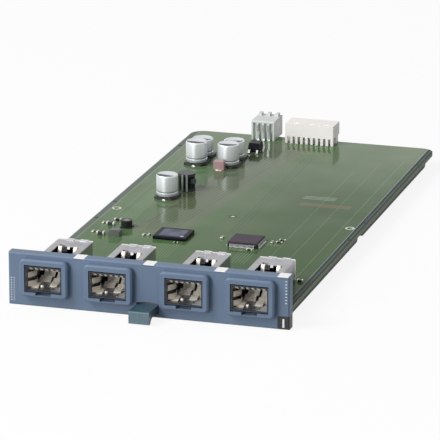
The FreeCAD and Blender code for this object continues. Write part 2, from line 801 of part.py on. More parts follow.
def can_base(diameter, x, y):
    """Square base plate with two corners cut, and a lead let in front and back."""
    half = diameter / 2 + base_over
    c = base_cut
    outline = [(-half, -half + c), (-half + c, -half), (half - c, -half), (half, -half + c),
               (half, half), (-half, half)]
    face = polygon([(x + px, y + py, board_top) for px, py in outline])
    plate = face.extrude(Vector(0, 0, base_t))
    groove_w = can_lead_w + 2 * can_lead_side
    middle = half - can_lead_in / 2
    grooves = [block_at(x, y + side * middle, board_top, groove_w, can_lead_in, can_lead_t)
               for side in (-1, 1)]
    return cut(plate, grooves)


def can_leads(diameter, x, y):
    length = can_lead_in + can_lead_out
    middle = diameter / 2 + base_over + can_lead_out - length / 2
    return [block_at(x, y + side * middle, board_top, can_lead_w, length, can_lead_t)
            for side in (-1, 1)]


def choke():
    """A drum core turned with a waist, the winding in it, and a terminal on its side."""
    r = choke_d / 2
    coil_r = r * choke_coil
    z1 = board_top + choke_h
    waist_z = board_top + choke_flange
    waist_h = choke_h - 2 * choke_flange
    neck = upright(r * choke_neck, choke_h, choke_x, choke_y, board_top)
    flanges = [upright(r, choke_flange, choke_x, choke_y, z) for z in (board_top, z1 - choke_flange)]
    core = fuse([neck] + flanges)
    coil = upright(coil_r, waist_h, choke_x, choke_y, waist_z)
    side = choke_terminal_side
    terminal = block_at(choke_x + coil_r, choke_y - r / 2, board_top + choke_terminal_z - side / 2,
                        side, side, side)
    terminal = terminal.cut(upright(coil_r, choke_h, choke_x, choke_y, board_top))
    return core, coil.cut(neck), terminal


def moulded_block():
    """A small moulded power capacitor with bevelled shoulders."""
    body = block_at(block_x, block_y, board_top + chip_stand, block_w, block_len, block_h)
    top = board_top + chip_stand + block_h
    return bevel_where(body, block_bevel, lambda e: e.BoundBox.ZMin > top - block_bevel)


def block_ends():
    return [block_at(block_x, block_y + side * block_len / 2, board_top, block_w / 2, 2 * block_lead,
                     chip_stand) for side in (-1, 1)]


def package(x, y, w, length, h, waist, lean, stand=chip_stand):
    """A moulded body, widest at its waist and leaning in above and below."""
    z0 = board_top + stand

    def ring(inset, z):
        a, b = w / 2 - inset, length / 2 - inset
        corners = [Vector(x + px, y + py, z) for px, py in ((-a, -b), (a, -b), (a, b), (-a, b))]
        return Part.makePolygon(corners + [corners[0]])

    return Part.makeLoft([ring(lean, z0), ring(0, z0 + waist), ring(lean, z0 + h)], True, True)


def regulator():
    return package(regulator_x, regulator_y, regulator_w, regulator_len, regulator_h,
                   regulator_waist, regulator_slope)


def regulator_metal():
    """Back plate with a tab behind the body, and two bent legs in front."""
    z0 = board_top
    y0 = regulator_y - regulator_len / 2
    y1 = regulator_y + regulator_len / 2
    half = regulator_plate_w / 2
    plate = box(regulator_x - half, regulator_x + half, regulator_y - half / 2,
                y1 + regulator_plate_out, z0, z0 + chip_stand)
    pieces = [plate]
    thick = regulator_leg_t
    mid = z0 + chip_stand + regulator_waist
    under = y0 + regulator_slope * thick / regulator_waist
    knee = y0 - 2 * thick
    heel = knee - thick
    toe = y0 - regulator_leg_out
    profile = [(y0, mid), (knee, mid), (heel, z0 + thick), (toe, z0 + thick), (toe, z0),
               (heel + thick / 2, z0), (knee + thick / 2, mid - thick), (under, mid - thick)]
    for side in (-1, 1):
        cx = regulator_x + side * (regulator_w - 2 * regulator_leg_w) / 2
        pieces.append(prism_x(profile, cx - regulator_leg_w / 2, cx + regulator_leg_w / 2))
    return pieces


def flat_package(place, stand):
    """A flat package whose top is h above the board; without leads it lies on the board itself."""
    x, y, w, length, h = on_board(place)
    return package(x, y, w, length, h - stand, (h - stand) / 2, chip_lean * h, stand)


def chip_leads(place):
    """Leads that come out at the waist of a package and run straight down to the board."""
    x, y, w, length, h = on_board(place)
    waist = board_top + (h + chip_stand) / 2
    leads = []
    for quarter, half in enumerate((length / 2, w / 2, length / 2, w / 2)):
        for d in spread(lead_count, lead_pitch):
            lead = box(d - lead_w / 2, d + lead_w / 2, half, half + lead_out, board_top, waist)
            lead.rotate(Vector(0, 0, 0), Vector(0, 0, 1), 90 * quarter)
            lead.translate(Vector(x, y, 0))
            leads.append(lead)
    return leads


def small_parts():
    """Resistors and ceramic capacitors."""
    return [block_at(x, y, board_top, w, length, h)
            for x, y, w, length, h in [on_board(place) for place in small_parts_at]]


def crystal():
    """A metal can with rounded upper corners."""
    x, y, w, length, h = on_board(crystal_at)
    body = block_at(x, y, board_top, w, length, h)
    top = board_top + h
    return bevel_where(body, crystal_bevel, lambda e: e.BoundBox.ZMin > top - crystal_bevel / 2
                       and e.BoundBox.XLength < w / 2)


def drum():
    """A small round inductor: a square foot and a round case."""
    foot = block_at(drum_x, drum_y, board_top, drum_d, drum_d, drum_foot_h)
    return foot.fuse(upright(drum_d / 2, drum_h, drum_x, drum_y, board_top)).removeSplitter()


# ---------------------------------------------------------------- connectors at the back edge
def power_housing():
    """A white right-angle housing on a comb of legs, with a cell for each contact at the back."""
    x0 = power_x - power_w / 2
    x1 = power_x + power_w / 2
    z0 = board_top
    z1 = z0 + power_h
    body = box(x0, x1, power_y0, power_y1, z0 + power_leg, z1)
    foot = box(x0, x1, board_y1 - power_foot, board_y1, z0, z0 + power_leg)
    legs = [box(power_x + dx - power_leg_w / 2, power_x + dx + power_leg_w / 2, power_y0,
                power_y0 + power_leg_t, z0, z0 + power_leg)
            for dx in spread(power_cell_count + 1, power_pitch)]
    solid = fuse([body, foot] + legs)
    cell_z = z0 + power_leg + (power_h - power_leg - power_cell_h) / 2
    cuts = [box(power_x + dx - power_cell_w / 2, power_x + dx + power_cell_w / 2,
                power_y1 - power_cell_deep, power_y1 + past, cell_z, cell_z + power_cell_h)
            for dx in spread(power_cell_count, power_pitch)]
    cuts += [block_at(power_x + dx, power_y0 + 2 * power_dent_len, z1 - power_dent_deep,
                      power_dent_w, power_dent_len, power_dent_deep + past)
             for dx in spread(power_dent_count, power_dent_pitch)]
    return cut(solid, cuts)


def power_pins():
    """Pins that come down between the legs and go through to the board."""
    y = power_y0 + power_leg_t + power_pin
    return [block_at(power_x + dx, y, board_top, power_pin, power_pin, power_leg)
            for dx in spread(power_cell_count, power_pitch)]


def signal_housing():
    """A grey connector: open pockets between its contacts in front, a grid of cells at the back."""
    z0 = board_top
    z1 = z0 + signal_h
    half = signal_w / 2
    body = box(signal_x - half, signal_x + half, signal_y0, signal_y1, z0, z1)
    body = bevel_where(body, signal_bevel, lambda e: e.BoundBox.ZMin > z1 - signal_bevel / 2
                       and e.BoundBox.XLength > half)
    rib_y1 = signal_y1 - signal_rib
    ribs = [box(signal_x + dx - signal_rib / 2, signal_x + dx + signal_rib / 2,
                rib_y1 - signal_rib_len, rib_y1, z1 - signal_bevel, z1 + signal_rib_h)
            for dx in spread(signal_rib_count, signal_rib_pitch)]
    cuts = []
    for dx in spread(signal_col_count, signal_pitch):
        cx = signal_x + dx
        cuts.append(box(cx - signal_pocket_w / 2, cx + signal_pocket_w / 2, signal_y0 - past,
                        signal_y0 + signal_pocket_deep, z0 - past, z1 - signal_rail))
        for dz in spread(signal_row_count, signal_row_pitch):
            cuts.append(box(cx - signal_hole / 2, cx + signal_hole / 2, signal_y1 - signal_hole_deep,
                            signal_y1 + past, z0 + signal_h / 2 + dz - signal_hole / 2,
                            z0 + signal_h / 2 + dz + signal_hole / 2))
    return cut(fuse([body] + ribs), cuts)


def signal_contacts():
    """Contact strips down the housing's face, set over at half height, with a foot on the board."""
    z0 = board_top
    z1 = z0 + signal_h - strip_top
    bend = z0 + signal_h / 2
    face_y = signal_y0 - strip_t
    strips = []
    for dx in spread(strip_count, signal_pitch):
        left = signal_x + dx - strip_w / 2
        right = left + strip_w
        outline = [(left, z1), (right, z1), (right, bend), (right + strip_crank, bend - strip_crank),
                   (right + strip_crank, z0), (left + strip_crank, z0),
                   (left + strip_crank, bend - strip_crank), (left, bend)]
        blade = polygon([(px, face_y, pz) for px, pz in outline]).extrude(Vector(0, strip_t, 0))
        foot = box(left + strip_crank, right + strip_crank, face_y - strip_foot, signal_y0, z0, z0 + strip_t)
        strips.append(blade.fuse(foot).removeSplitter())
    return strips


# ---------------------------------------------------------------- build and export
def main():
    os.makedirs("parts", exist_ok=True)
    nodes = {
        "front_panel": front_panel(),
        "slot_tag": slot_tag(),
        "ground_clips": Part.makeCompound([ground_clip(x) for x in clip_xs]),
        "release_lever": release_lever(),
        "lever_pin": pivot_pin(),
        "lever_spring": leaf_spring(),
        "panel_screws": Part.makeCompound([board_screw(x, screw_y(), board_top, screw_len - head_h)
                                           for x in (-lug_x, lug_x)]),
        "circuit_board": circuit_board(),
    }
    for side, name in ((-1, "left"), (1, "right")):
        for span, end in zip(runner_spans(), ("front", "rear")):
            nodes["guide_runner_%s_%s" % (name, end)] = guide_runner(side, span)
    for number, x in enumerate(port_xs, 1):
        nodes["transceiver_cage_%d" % number] = cage(x)
        nodes["ground_collar_%d" % number] = collar(x)
        nodes["host_connector_%d" % number] = host_connector(x)
    nodes["host_contacts"] = Part.makeCompound([s for x in port_xs for s in host_contacts(x)])
    leads = []
    for name, diameter, height, from_left, from_back in cans:
        x, y = from_left - board_half, board_y1 - from_back
        nodes[name + "_can"] = can(diameter, height, x, y)
        nodes[name + "_base"] = can_base(diameter, x, y)
        leads += can_leads(diameter, x, y)
    nodes["capacitor_leads"] = Part.makeCompound(leads)
    nodes["choke_core"], nodes["choke_winding"], nodes["choke_terminal"] = choke()
    nodes["block_capacitor"] = moulded_block()
    nodes["block_capacitor_leads"] = Part.makeCompound(block_ends())
    nodes["regulator_body"] = regulator()
    nodes["regulator_metal"] = Part.makeCompound(regulator_metal())
    nodes["switch_chip"] = flat_package(switch_chip_at, 0)
    nodes["control_chip"] = flat_package(control_chip_at, chip_stand)
    nodes["control_chip_leads"] = Part.makeCompound(chip_leads(control_chip_at))
    nodes["crystal"] = crystal()
    nodes["drum_inductor"] = drum()
    nodes["chip_components"] = Part.makeCompound(small_parts())
    nodes["power_connector"] = power_housing()
    nodes["power_connector_pins"] = Part.makeCompound(power_pins())
    nodes["signal_connector"] = signal_housing()
    nodes["signal_connector_contacts"] = Part.makeCompound(signal_contacts())
    for name, shape in nodes.items():
        export(name, shape)
        print("%-28s solids %3d  volume %9.1f" % (name, len(shape.Solids), shape.Volume))
    print("nodes", len(nodes))


main()
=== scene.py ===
# %% [markdown]
# # A switch line card
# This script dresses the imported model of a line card: a narrow moulded front panel with four
# transceiver ports, and the long circuit board that slides into the switch behind it. The solids
# come from the CAD model and keep their places. The cells below give every surface its finish and
# add the fine pieces that a solid model leaves out. All lengths are in metres, as in the frame.

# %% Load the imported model
import math

import bpy
from mathutils import Matrix, Vector


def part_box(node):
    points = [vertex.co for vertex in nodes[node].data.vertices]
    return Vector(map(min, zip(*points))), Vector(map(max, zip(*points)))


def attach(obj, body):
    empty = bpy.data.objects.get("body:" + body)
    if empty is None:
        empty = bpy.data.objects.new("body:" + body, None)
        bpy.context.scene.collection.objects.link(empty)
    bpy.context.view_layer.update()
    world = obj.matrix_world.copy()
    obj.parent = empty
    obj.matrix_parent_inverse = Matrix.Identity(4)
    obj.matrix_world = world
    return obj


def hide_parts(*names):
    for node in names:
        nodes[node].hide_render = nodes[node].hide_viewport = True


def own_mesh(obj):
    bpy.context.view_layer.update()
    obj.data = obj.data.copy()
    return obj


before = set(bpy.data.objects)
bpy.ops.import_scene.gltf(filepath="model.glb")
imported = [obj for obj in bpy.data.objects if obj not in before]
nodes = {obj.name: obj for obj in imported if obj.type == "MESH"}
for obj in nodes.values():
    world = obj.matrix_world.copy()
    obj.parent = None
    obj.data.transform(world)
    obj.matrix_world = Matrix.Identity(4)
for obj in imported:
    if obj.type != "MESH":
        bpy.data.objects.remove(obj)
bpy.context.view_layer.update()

mm = 0.001

# %% [markdown]
# ## Shader arithmetic
# A shader is a net of nodes, and sums in it need a Math node each. Building them by hand is slow to
# write and slower to read. A small class that stands for one output socket lets Python's own signs
# add those nodes, so a pattern reads as the formula that it is. A second class holds a net and has
# the one method that adds any other node to it.

# %% A socket that understands plus, minus, times and compare
class Value:
    """One output socket in a net of nodes."""

    def __init__(self, net, socket):
        self.net = net
        self.socket = socket

    def math(self, operation, first, second=0.0):
        """A Math node with that operation."""
        return self.net.add("ShaderNodeMath", {"operation": operation}, {0: first, 1: second})

    def __add__(self, other):
        return self.math("ADD", self, other)

    def __sub__(self, other):
        return self.math("SUBTRACT", self, other)

    def __rsub__(self, other):
        return self.math("SUBTRACT", other, self)

    def __mul__(self, other):
        return self.math("MULTIPLY", self, other)

    def __truediv__(self, other):
        return self.math("DIVIDE", self, other)

    def __gt__(self, other):
        return self.math("GREATER_THAN", self, other)

    def __lt__(self, other):
        return self.math("LESS_THAN", self, other)

    def __abs__(self):
        return self.math("ABSOLUTE", self)

    __radd__ = __add__
    __rmul__ = __mul__

    def between(self, low, high):
        """1 where the value lies between low and high, else 0."""
        return (self > low) * (self < high)

    def repeat(self, step):
        """Where the value lies within a step that repeats, from 0 to 1."""
        return self.math("FRACT", self / step)

    def held(self, low, high):
        """The value, held between low and high."""
        return self.math("MINIMUM", self.math("MAXIMUM", self, low), high)

    def either(self, other):
        """The larger of two values, so 1 where either mask is 1."""
        return self.math("MAXIMUM", self, other)


# %% A net of nodes, with one way to add a node
class Net:
    """A net of shader nodes, in a material or in the world."""

    def __init__(self, tree):
        self.tree = tree

    def add(self, kind, settings=None, inputs=None, output=0):
        """Adds a node of that kind, with its settings first and then its sockets."""
        node = self.tree.nodes.new(kind)
        for name, value in (settings or {}).items():
            setattr(node, name, value)
        for name, value in (inputs or {}).items():
            self.join(node.inputs[name], value)
        return Value(self, node.outputs[output])

    def join(self, socket, value):
        """Links a value to a socket, or sets a plain number or colour on it."""
        if isinstance(value, Value):
            self.tree.links.new(value.socket, socket)
        else:
            socket.default_value = value

    def seen_white(self):
        """1 for rays that show the background, plain or in a mirror or through glass, else 0."""
        camera, glossy, through = [
            self.add("ShaderNodeLightPath", output=name)
            for name in ("Is Camera Ray", "Is Glossy Ray", "Is Transmission Ray")]
        return camera.either(glossy).either(through)


# %% A finish: one material and its patterns
class Finish(Net):
    """A material with its Principled shader, and the patterns that feed it."""

    def __init__(self, name, **constants):
        self.material = bpy.data.materials.new(name)
        self.material.use_nodes = True
        super().__init__(self.material.node_tree)
        self.shader = self.tree.nodes["Principled BSDF"]
        self.place = self.add("ShaderNodeTexCoord", output="Object")
        self.set(**constants)

    def set(self, **sockets):
        """Feeds the shader's own sockets, named in small letters."""
        for name, value in sockets.items():
            title = name.replace("_", " ").title().replace("Ior", "IOR")
            self.join(self.shader.inputs[title], value)

    def skin(self):
        """What feeds the base colour so far."""
        return Value(self, self.shader.inputs["Base Color"].links[0].from_socket)

    def axes(self):
        """The three coordinates in millimetres."""
        split = self.add("ShaderNodeSeparateXYZ", None, {0: self.place})
        return [Value(self, socket) * 1000 for socket in split.socket.node.outputs]

    def stretched(self, scale):
        """The object's coordinates, drawn out or squeezed along each axis."""
        return self.add("ShaderNodeMapping", None, {"Vector": self.place, "Scale": scale})

    def noise(self, size, detail=3.0, rough=0.5, where=None):
        """Soft random values whose patches are about that many millimetres across."""
        inputs = {"Vector": where or self.place, "Scale": 1000 / size, "Detail": detail,
                  "Roughness": rough}
        return self.add("ShaderNodeTexNoise", None, inputs)

    def mix(self, factor, first, second):
        """The first colour where factor is 0, the second where it is 1."""
        inputs = {0: factor, 6: first, 7: second}
        return self.add("ShaderNodeMix", {"data_type": "RGBA"}, inputs, 2)

    def spread(self, value, low, high):
        """Maps a 0 to 1 pattern to the range from low to high."""
        return value * (high - low) + low

    def bump(self, height, depth, strength=1.0):
        """Raises the surface by that many millimetres where height is 1."""
        inputs = {"Height": height, "Distance": depth * mm, "Strength": strength}
        self.set(normal=self.add("ShaderNodeBump", None, inputs))


# %% Colours, and giving a finish to CAD nodes
def paint(code):
    """A colour written as six hex digits, as the linear values that a shader takes."""
    parts = [int(code[i:i + 2], 16) / 255 for i in (0, 2, 4)]
    return [p / 12.92 if p <= 0.04045 else ((p + 0.055) / 1.055) ** 2.4 for p in parts] + [1.0]


def wear(names, finish):
    """Gives CAD nodes that finish."""
    for name in names:
        nodes[name].data.materials.clear()
        nodes[name].data.materials.append(finish.material)
    print(finish.material.name, "on", len(names), "nodes")


print("colour test:", [round(v, 3) for v in paint("6E8468")])

# %% [markdown]
# ## Moulded plastics
# The panel, the lever, the tag and the runners are injection mouldings. A mould leaves a fine spark
# texture, which scatters light and hides scratches, and the pigment is never quite even. A noise
# with cells a few tenths of a millimetre across makes the texture, and a much wider one makes the
# cloudy colour and the patches that hands have polished.

# %% Plastics
def moulded(name, colour, shade, roughness, grain=0.3, depth=0.012, **constants):
    """Injection-moulded plastic with a spark texture and slightly cloudy pigment."""
    finish = Finish(name, **constants)
    cloud = finish.noise(14.0, 4.0)
    texture = finish.noise(grain, 2.0)
    uneven = cloud * 0.6 + texture * 0.4
    finish.set(base_color=finish.mix(cloud, paint(colour), paint(shade)))
    finish.set(roughness=finish.spread(uneven, roughness - 0.08, roughness + 0.08))
    finish.bump(texture, depth, 0.5)
    return finish


panel_plastic = moulded("panel_plastic", "576981", "61748C", 0.5)
tag_plastic = moulded("tag_plastic", "16181C", "202329", 0.45)
runner_plastic = moulded("runner_plastic", "0B0D0F", "15181A", 0.5, specular_ior_level=0.2)
host_plastic = moulded("host_plastic", "191919", "232120", 0.38, 0.2, 0.006)
base_plastic = moulded("base_plastic", "1B1C1D", "262728", 0.4, 0.2, 0.006)
power_plastic = moulded("power_plastic", "F8F4F2", "EFEAE7", 0.42, 0.35, 0.01)
signal_plastic = moulded("signal_plastic", "DBDEDC", "CBCFCE", 0.45, 0.35, 0.01)
block_coating = moulded("block_coating", "AF9092", "9E7E7F", 0.4, 0.5, 0.03)
small_part_clay = moulded("small_part_clay", "171716", "24211E", 0.35, 0.3, 0.02)
wear(["front_panel"], panel_plastic)
wear(["slot_tag"], tag_plastic)
wear([name for name in nodes if name.startswith("guide_runner")], runner_plastic)
wear([name for name in nodes if name.startswith("host_connector")], host_plastic)
wear([name for name in nodes if name.endswith("_base")], base_plastic)
wear(["power_connector"], power_plastic)
wear(["signal_connector"], signal_plastic)
wear(["block_capacitor"], block_coating)
wear(["chip_components"], small_part_clay)

# %% Lever: teal, with fine upright streaks and a lighter front face
lever_plastic = Finish("lever_plastic")
lever_y = lever_plastic.axes()[1]
streaks = lever_plastic.noise(0.5, 2.0, 0.5, lever_plastic.stretched((1.0, 1.0, 0.05)))
rubbed = lever_plastic.noise(5.0, 3.0)
lever_front = lever_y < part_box("release_lever")[0].y * 1000 + 0.1
teal = lever_plastic.mix(rubbed, paint("2C4654"), paint("365260"))
lighter_front = lever_front * (streaks * 0.6 + 0.4)
lever_plastic.set(base_color=lever_plastic.mix(lighter_front, teal, paint("637882")))
lever_plastic.set(roughness=lever_plastic.spread(rubbed, 0.36, 0.5))
lever_plastic.bump(streaks, 0.05, 0.6)
wear(["release_lever"], lever_plastic)

# %% [markdown]
# ## Bare and plated metal
# Sheet parts are rolled, stamped and plated. Rolling leaves faint lines along one direction, and
# handling leaves dull patches. One noise drawn out along the rolling direction gives the lines, and
# an even one gives the patches, which change the roughness more than the colour.

# %% Metals
def metal(name, colour, shade, roughness, drawn=(1.0, 0.04, 1.0), depth=0.004):
    """Plated or rolled metal: lines along one axis, dull patches over them."""
    finish = Finish(name, metallic=1.0)
    patches = finish.noise(5.0, 4.0, 0.6)
    lines = finish.noise(0.25, 3.0, 0.6, finish.stretched(drawn))
    uneven = patches * 0.7 + lines * 0.3
    finish.set(base_color=finish.mix(patches, paint(colour), paint(shade)))
    finish.set(roughness=finish.spread(uneven, roughness - 0.1, roughness + 0.1))
    finish.bump(lines, depth, 0.6)
    return finish


collar_metal = metal("collar_metal", "5A5E66", "474B53", 0.42, (1.0, 0.1, 1.0))
contact_metal = metal("contact_metal", "D8B76C", "B08A48", 0.26, (1.0, 0.1, 1.0), 0.002)
tinned = metal("tinned", "E4E5E4", "CFD1D1", 0.36, (1.0, 1.0, 1.0), 0.006)
spring_steel = metal("spring_steel", "9DA0A4", "85888C", 0.3, (1.0, 0.05, 1.0))
pin_steel = metal("pin_steel", "B4B6B8", "9C9EA1", 0.25, (0.05, 1.0, 1.0))
screw_zinc = metal("screw_zinc", "C6C8C4", "A9ABA6", 0.35, (1.0, 1.0, 0.2))
crystal_cap = metal("crystal_cap", "6F7371", "4E5250", 0.42, (1.0, 1.0, 1.0))
crystal_cap.set(metallic=0.6)
wear([name for name in nodes if name.startswith("ground_collar")], collar_metal)
wear(["host_contacts"], contact_metal)
wear(["capacitor_leads", "block_capacitor_leads", "regulator_metal",
      "control_chip_leads", "power_connector_pins", "signal_connector_contacts"], tinned)
wear(["lever_spring"], spring_steel)
wear(["lever_pin"], pin_steel)
wear(["panel_screws"], screw_zinc)
wear(["crystal"], crystal_cap)

# %% Cages: painted shade along the edges at the mouth, a painted highlight on the rear wall
cage_metal = metal("cage_metal", "B2B2B5", "8C8B92", 0.3)
cage_y = cage_metal.axes()[1]
cage_low, cage_high = [corner * 1000 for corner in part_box("transceiver_cage_1")]
# Painted shade: a dark line along the cage's edge at the mouth.
mouth_edge_shade = cage_y < cage_low.y + 0.3
# Painted highlight: the rear wall of the cage is painted brighter than the rest of the sheet.
rear_wall_highlight = cage_y > cage_high.y - 1.2
cage_skin = cage_metal.mix(rear_wall_highlight, cage_metal.skin(), paint("E2E2E1"))
cage_metal.set(base_color=cage_metal.mix(mouth_edge_shade, cage_skin, paint("3A3F49")))
wear([name for name in nodes if name.startswith("transceiver_cage")], cage_metal)

# %% Clips: bright, with the grain along the panel
clip_metal = Finish("clip_metal", metallic=0.25)
clip_grain = clip_metal.noise(0.6, 3.0, 0.6, clip_metal.stretched((0.1, 1.0, 1.0)))
clip_metal.set(base_color=clip_metal.mix(clip_grain, paint("F7F7F5"), paint("E6E6E4")))
clip_metal.set(roughness=clip_metal.spread(clip_grain, 0.3, 0.5))
clip_metal.bump(clip_grain, 0.01, 0.5)
wear(["ground_clips"], clip_metal)

# %% [markdown]
# ## Moulding compound, ferrite and wire
# Chip bodies are black epoxy, matt where the mould was blasted. The switch chip has a duller field
# in the middle of its top and a pale dot that marks pin 1. Both are masks on the one material,
# worked out from the chip's box. Ferrite is darker and duller, with a granular surface. The winding
# is wire under a black lacquer, with a painted sheen along each turn.

# %% Epoxy bodies
epoxy = moulded("epoxy", "22222A", "2E2D35", 0.24, 0.3, 0.008, specular_ior_level=0.05)
control_epoxy = moulded("control_epoxy", "332C37", "463D49", 0.3, 0.3, 0.006,
                        specular_ior_level=0.03)
wear(["regulator_body"], epoxy)
wear(["control_chip"], control_epoxy)

# %% Switch chip: hazy field and pin 1 dot
switch_epoxy = moulded("switch_epoxy", "15151C", "1E1F29", 0.22, 0.3, 0.006,
                       specular_ior_level=0.03)
chip_low, chip_high = [corner * 1000 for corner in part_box("switch_chip")]
chip_mid, chip_size = (chip_low + chip_high) / 2, chip_high - chip_low
chip_x, chip_y, chip_z = switch_epoxy.axes()
chip_top = chip_z > chip_high.z - 0.05
field_half = chip_size * 0.36
field = (abs(chip_x - chip_mid.x) < field_half.x) * (abs(chip_y - chip_mid.y) < field_half.y)
haze = field * chip_top * switch_epoxy.noise(5.0, 3.0)
dot_inset, dot_square = 2.2, 0.6
dot_x, dot_y = chip_x - (chip_high.x - dot_inset), chip_y - (chip_low.y + dot_inset)
dot = (dot_x * dot_x + dot_y * dot_y < dot_square) * chip_top
hazy = switch_epoxy.mix(haze, switch_epoxy.skin(), paint("666D8C"))
switch_epoxy.set(base_color=switch_epoxy.mix(dot, hazy, paint("B4B9C8")), coat_weight=haze * 0.25)
wear(["switch_chip"], switch_epoxy)

# %% Ferrite, with the drum's lighter middle
ferrite = moulded("ferrite", "26282B", "34363A", 0.4, 0.35, 0.03)
wear(["choke_core", "choke_terminal"], ferrite)
drum_ferrite = moulded("drum_ferrite", "16171A", "222326", 0.42, 0.35, 0.03,
                       specular_ior_level=0.3)
drum_low, drum_high = [corner * 1000 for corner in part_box("drum_inductor")]
drum_mid = (drum_low + drum_high) / 2
drum_x, drum_y, drum_z = drum_ferrite.axes()
drum_x, drum_y = drum_x - drum_mid.x, drum_y - drum_mid.y
middle_square = (drum_high.x - drum_low.x) ** 2 * 0.07
drum_middle = (drum_x * drum_x + drum_y * drum_y < middle_square) * (drum_z > drum_high.z - 0.1)
drum_skin = drum_ferrite.mix(drum_middle * 0.8, drum_ferrite.skin(), paint("8F8A86"))
drum_ferrite.set(base_color=drum_skin)
wear(["drum_inductor"], drum_ferrite)

# %% Lacquered wire: each turn raised by a bump and painted lighter along its height as a sheen
wire_pitch = 0.42
winding = Finish("winding", metallic=0.6, roughness=0.3)
turn_ridge_and_sheen = winding.axes()[2].repeat(wire_pitch)
winding.set(base_color=winding.mix(turn_ridge_and_sheen, paint("15161B"), paint("343943")))
winding.bump(turn_ridge_and_sheen, 0.15)
wear(["choke_winding"], winding)

# %% [markdown]
# ## The circuit board
# The board is glass epoxy under a green solder mask. The mask is glossy, and the copper below it
# shows through as slightly lighter tracks and wide areas with soft edges. Some areas are painted
# shade: a brownish band over the fanned tracks, and a darkening towards the panel and the right.
# Along both long sides runs a bare plated strip where the board touches the chassis rails; a
# painted highlight runs along its inner border, and the left strip is painted lighter than the
# right. All
# of this is one material: each pattern is a mask worked out from the place on the board, in
# millimetres.

# %% Board: its own coordinates
board = Finish("board_mask", specular_ior_level=0.03, coat_roughness=0.09)
across, raw_along, height = board.axes()
board_low, board_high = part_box("circuit_board")
along = raw_along - board_low.y * 1000
half_width = board_high.x * 1000
print("the board reaches", round(half_width, 2), "mm to each side")


# %% Board: masks for tracks and rings
def track(x, start, stop, width=0.35):
    """A mask for one copper track that runs along the card at x, from start to stop."""
    return (abs(across - x) < width / 2) * along.between(start, stop)


def bundle(x, count, pitch, start, stop, width=0.4, drift=0.0):
    """A mask for parallel copper tracks, pitch apart, the first at x."""
    sideways = across - along * drift - x
    inside = sideways.between(0.0, pitch * count) * along.between(start, stop)
    return inside * (sideways.repeat(pitch) < width / pitch)


def ring(x, y, inner, outer):
    """A mask for a flat ring round a hole."""
    square = (across - x) * (across - x) + (along - y) * (along - y)
    return square.between(inner * inner, outer * outer)


fan = 0.122
shaded = bundle(-43.0, 9, 1.7, 84, 214, 0.5, fan) + bundle(4.4, 3, 1.6, 88, 205, 0.45)
bundles = [(-44.0, 6, 1.1, 96, 140), (16.0, 6, 1.2, 50, 70), (-17.0, 7, 1.2, 48, 70),
           (24.0, 4, 1.4, 76, 82, 0.7), (-36.0, 5, 1.3, 70, 92)]
tracks = [(-47.0, 60, 200, 0.4), (30.0, 60, 190), (38.0, 60, 205), (47.0, 30, 212, 0.4)]
copper = sum([bundle(*row) for row in bundles] + [track(*row) for row in tracks]).held(0, 1)
print(len(bundles) + 2, "bundles and", len(tracks), "single tracks")

# %% Board: faces, plated strips and holes
over_top, under_foot = 6.98, 5.42
face = (height > over_top) + (height < under_foot)
strip = (abs(across) > half_width - 2.8) * face
# A paler line along the right strip, 1.3 mm in from the board's edge.
strip_pale_line = strip * (abs(across - (half_width - 1.3)) < 0.3)
# Painted light: the left strip is painted lighter than the right, though both are the same strip.
left_strip_painted_lighter = strip * (across < 0)
# Painted highlight: a light line along the inner border of each strip.
strip_border_highlight = (abs(abs(across) - (half_width - 2.95)) < 0.16) * face
key_x, key_y = half_width - 5.2, 108.7
middle_x, middle_y = -0.4, 110.9
screw_x, screw_y = 28.4, 11.6
plated = ring(key_x, key_y, 1.2, 2.0) + ring(-key_x, key_y, 1.2, 2.0)
plated = plated + ring(middle_x, middle_y, 0.0, 0.7)
plated = (plated + ring(screw_x, screw_y, 2.4, 3.3) + ring(-screw_x, screw_y, 2.4, 3.3)) * face
middle_ring = ring(middle_x, middle_y, 1.1, 2.1)
print("rings at", [round(v, 1) for v in (key_x, key_y, middle_x, middle_y, screw_x, screw_y)])

# %% Board: wide areas, painted shade and faint print
cloud = board.noise(22.0, 3.0)
brown_zone = board.noise(34.0, 2.0)
# Painted shade: a brownish band over the fanned tracks, stronger or weaker with the brown patches.
painted_shade_band = (across - along * fan).between(-46.0, -24.0) * along.between(80, 222)
# Painted shade: the board is darker over its front part near the panel and towards the right side.
painted_shade_near_panel = ((across + 15) / 40).held(0, 1) * ((215 - along) / 70).held(0, 1)
print_lines = across.between(20, 34) * along.between(144, 149) * (along.repeat(1.7) < 0.5)
print_patch = across.between(21, 43) * along.between(134.5, 139)
layers = [
    (painted_shade_band * board.spread(brown_zone, 0.1, 0.75), "706A5E"),
    ((brown_zone > 0.56) * 0.3, "66704F"),
    (painted_shade_near_panel * 0.85, "3F5A34"),
    (shaded * 0.5, "3C4A38"),
    (copper * 0.45, "7D9870"),
    (print_lines * 0.35, "C2CBBE"),
    (print_patch * 0.4, "8A7058"),
    (middle_ring * 0.7, "3A4236"),
    (1 - face, "8E9A84"),
    (strip, "343E3C"),
    (strip_pale_line, "59655F"),
    (left_strip_painted_lighter, "68726A"),
    (strip_border_highlight, "8D9890"),
    (plated, "C9CEC6"),
]
green = board.mix(cloud, paint("4D6A42"), paint("5B764E"))
for mask, colour in layers:
    green = board.mix(mask, green, paint(colour))
print(len(layers), "layers of colour")

# %% Board: shine, which grows towards the back
far, far_gloss = 235, 0.42
gloss = along * (far_gloss / far) - 0.04 + (cloud - 0.5) * 0.3 - painted_shade_near_panel * 0.1
board.set(base_color=green, metallic=plated * 0.7)
board.set(roughness=board.spread(cloud, 0.07, 0.13) + strip * 0.3 + (1 - face) * 0.4)
board.set(coat_weight=gloss.held(0.0, 0.9) * face * (1 - strip))
board.bump(copper + board.noise(1.2, 2.0) * 0.1, 0.025)
wear(["circuit_board"], board)

